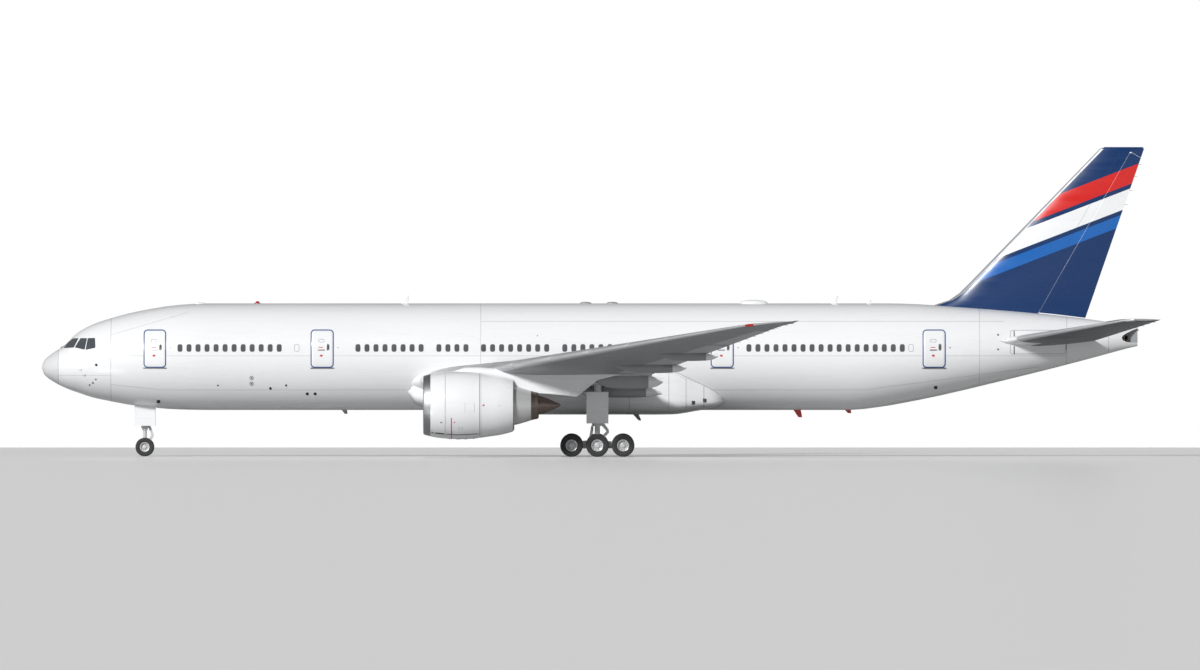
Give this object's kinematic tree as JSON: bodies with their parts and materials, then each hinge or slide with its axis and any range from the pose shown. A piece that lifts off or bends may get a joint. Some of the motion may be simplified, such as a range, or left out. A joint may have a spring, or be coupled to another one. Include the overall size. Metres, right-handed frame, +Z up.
{
  "type": "wide body airliner scale model",
  "caption": "Scale model of a wide body jet airliner parked on its landing gear, with hinged control surfaces and cargo doors, turning fans and wheels, and sliding reverser sleeves.",
  "frame": {"origin": "on the ground, below the middle of the aircraft's length and width", "axes": "+X aft along the fuselage, +Y to starboard, +Z up"},
  "size_m": [31.885, 32.4, 8.845],
  "materials": {
    "white_paint": "gloss",
    "radome_paint": "satin",
    "grey_paint": "satin",
    "blue_paint": "gloss",
    "cockpit_glass": "polished",
    "bare_metal": "polished",
    "hot_metal": "heat tinted",
    "gear_steel": "satin",
    "tyre_rubber": "matte"
  },
  "bodies": {
    "airframe": {"fuselage": "white_paint", "tail_cone": "white_paint", "wing_body_fairing": "white_paint", "radome": "radome_paint", "cockpit_glazing": "cockpit_glass", "fin": "blue_paint", "left_cabin_door_1": "white_paint", "left_cabin_door_2": "white_paint", "left_cabin_door_3": "white_paint", "left_cabin_door_4": "white_paint", "left_wing": "grey_paint", "left_inboard_flap": "grey_paint", "left_outboard_flap": "grey_paint", "left_stabiliser": "grey_paint", "left_pylon": "grey_paint", "left_inlet_cowl": "bare_metal", "left_fan_cowl": "white_paint", "left_leg_door": "white_paint", "left_nose_gear_door": "white_paint", "left_engine_core": "hot_metal", "left_main_leg": "gear_steel", "right_cabin_door_1": "white_paint", "right_cabin_door_2": "white_paint", "right_cabin_door_3": "white_paint", "right_cabin_door_4": "white_paint", "right_wing": "grey_paint", "right_inboard_flap": "grey_paint", "right_outboard_flap": "grey_paint", "right_stabiliser": "grey_paint", "right_pylon": "grey_paint", "right_inlet_cowl": "bare_metal", "right_fan_cowl": "white_paint", "right_leg_door": "white_paint", "right_nose_gear_door": "white_paint", "right_engine_core": "hot_metal", "right_main_leg": "gear_steel", "nose_leg": "gear_steel"},
    "rudder_surface": {"rudder": "blue_paint"},
    "nose_steering": {"nose_fork": "gear_steel"},
    "nose_wheel_pair": {"nose_wheels": "tyre_rubber"},
    "forward_cargo_door_leaf": {"forward_cargo_door": "white_paint"},
    "aft_cargo_door_leaf": {"aft_cargo_door": "white_paint"},
    "left_flaperon_body": {"left_flaperon": "grey_paint"},
    "left_aileron_body": {"left_aileron": "grey_paint"},
    "left_elevator_body": {"left_elevator": "grey_paint"},
    "left_reverser_sleeve_body": {"left_reverser_sleeve": "white_paint"},
    "left_fan_body": {"left_fan": "bare_metal"},
    "left_front_wheels_body": {"left_front_wheels": "tyre_rubber"},
    "left_middle_wheels_body": {"left_middle_wheels": "tyre_rubber"},
    "left_aft_wheels_body": {"left_aft_wheels": "tyre_rubber"},
    "left_aft_axle_body": {"left_aft_axle": "gear_steel"},
    "right_flaperon_body": {"right_flaperon": "grey_paint"},
    "right_aileron_body": {"right_aileron": "grey_paint"},
    "right_elevator_body": {"right_elevator": "grey_paint"},
    "right_reverser_sleeve_body": {"right_reverser_sleeve": "white_paint"},
    "right_fan_body": {"right_fan": "bare_metal"},
    "right_front_wheels_body": {"right_front_wheels": "tyre_rubber"},
    "right_middle_wheels_body": {"right_middle_wheels": "tyre_rubber"},
    "right_aft_wheels_body": {"right_aft_wheels": "tyre_rubber"},
    "right_aft_axle_body": {"right_aft_axle": "gear_steel"}
  },
  "joints": [
    {"name": "rudder_turn", "type": "hinge", "parent": "airframe", "child": "rudder_surface", "pos_m": [13.8871, 0, 6.3975], "axis": [0.4943, 0, 0.8693], "range_deg": [-27, 27]},
    {"name": "nose_steer", "type": "hinge", "parent": "airframe", "child": "nose_steering", "pos_m": [-12.9975, 0, 0.26726], "axis": [0, 0, 1], "range_deg": [-70, 70]},
    {"name": "nose_wheels_spin", "type": "hinge", "parent": "nose_steering", "child": "nose_wheel_pair", "pos_m": [-12.9975, 0, 0.26726], "axis": [0, 1, 0], "continuous": true},
    {"name": "forward_cargo_door_swing", "type": "hinge", "parent": "airframe", "child": "forward_cargo_door_leaf", "pos_m": [-9.6175, 1.42018, 2.32245], "axis": [1, 0, 0], "range_deg": [0, 120]},
    {"name": "aft_cargo_door_swing", "type": "hinge", "parent": "airframe", "child": "aft_cargo_door_leaf", "pos_m": [5.9825, 1.42018, 2.32245], "axis": [1, 0, 0], "range_deg": [0, 120]},
    {"name": "left_aileron_turn", "type": "hinge", "parent": "airframe", "child": "left_aileron_body", "pos_m": [3.80941, -12.75, 3.44045], "axis": [-0.389, 0.9144, -0.1122], "range_deg": [-33, 19]},
    {"name": "left_flaperon_turn", "type": "hinge", "parent": "airframe", "child": "left_flaperon_body", "pos_m": [0.78909, -5.65, 2.56957], "axis": [-0.389, 0.9144, -0.1122], "range_deg": [-11, 37]},
    {"name": "left_elevator_turn", "type": "hinge", "parent": "airframe", "child": "left_elevator_body", "pos_m": [14.60363, -3.075, 3.61327], "axis": [-0.4192, 0.9008, -0.113], "range_deg": [-33, 27]},
    {"name": "left_reverser_sleeve_slide", "type": "slide", "parent": "airframe", "child": "left_reverser_sleeve_body", "axis": [1, 0, 0], "range_m": [0, 0.3]},
    {"name": "left_fan_spin", "type": "hinge", "parent": "airframe", "child": "left_fan_body", "pos_m": [-4.205, -4.8, 1.475], "axis": [1, 0, 0], "continuous": true},
    {"name": "left_front_wheels_spin", "type": "hinge", "parent": "airframe", "child": "left_front_wheels_body", "pos_m": [-0.7925, -2.745, 0.32366], "axis": [0, 1, 0], "continuous": true},
    {"name": "left_middle_wheels_spin", "type": "hinge", "parent": "airframe", "child": "left_middle_wheels_body", "pos_m": [-0.0575, -2.745, 0.32366], "axis": [0, 1, 0], "continuous": true},
    {"name": "left_aft_axle_steer", "type": "hinge", "parent": "airframe", "child": "left_aft_axle_body", "pos_m": [0.6775, -2.745, 0.32366], "axis": [0, 0, 1], "range_deg": [-8, 8]},
    {"name": "left_aft_wheels_spin", "type": "hinge", "parent": "left_aft_axle_body", "child": "left_aft_wheels_body", "pos_m": [0.6775, -2.745, 0.32366], "axis": [0, 1, 0], "continuous": true},
    {"name": "right_aileron_turn", "type": "hinge", "parent": "airframe", "child": "right_aileron_body", "pos_m": [3.80941, 12.75, 3.44045], "axis": [0.389, 0.9144, 0.1122], "range_deg": [-33, 19]},
    {"name": "right_flaperon_turn", "type": "hinge", "parent": "airframe", "child": "right_flaperon_body", "pos_m": [0.78909, 5.65, 2.56957], "axis": [0.389, 0.9144, 0.1122], "range_deg": [-11, 37]},
    {"name": "right_elevator_turn", "type": "hinge", "parent": "airframe", "child": "right_elevator_body", "pos_m": [14.60363, 3.075, 3.61327], "axis": [0.4192, 0.9008, 0.113], "range_deg": [-33, 27]},
    {"name": "right_reverser_sleeve_slide", "type": "slide", "parent": "airframe", "child": "right_reverser_sleeve_body", "axis": [1, 0, 0], "range_m": [0, 0.3]},
    {"name": "right_fan_spin", "type": "hinge", "parent": "airframe", "child": "right_fan_body", "pos_m": [-4.205, 4.8, 1.475], "axis": [1, 0, 0], "continuous": true},
    {"name": "right_front_wheels_spin", "type": "hinge", "parent": "airframe", "child": "right_front_wheels_body", "pos_m": [-0.7925, 2.745, 0.32366], "axis": [0, 1, 0], "continuous": true},
    {"name": "right_middle_wheels_spin", "type": "hinge", "parent": "airframe", "child": "right_middle_wheels_body", "pos_m": [-0.0575, 2.745, 0.32366], "axis": [0, 1, 0], "continuous": true},
    {"name": "right_aft_axle_steer", "type": "hinge", "parent": "airframe", "child": "right_aft_axle_body", "pos_m": [0.6775, 2.745, 0.32366], "axis": [0, 0, 1], "range_deg": [-8, 8]},
    {"name": "right_aft_wheels_spin", "type": "hinge", "parent": "right_aft_axle_body", "child": "right_aft_wheels_body", "pos_m": [0.6775, 2.745, 0.32366], "axis": [0, 1, 0], "continuous": true}
  ]
}
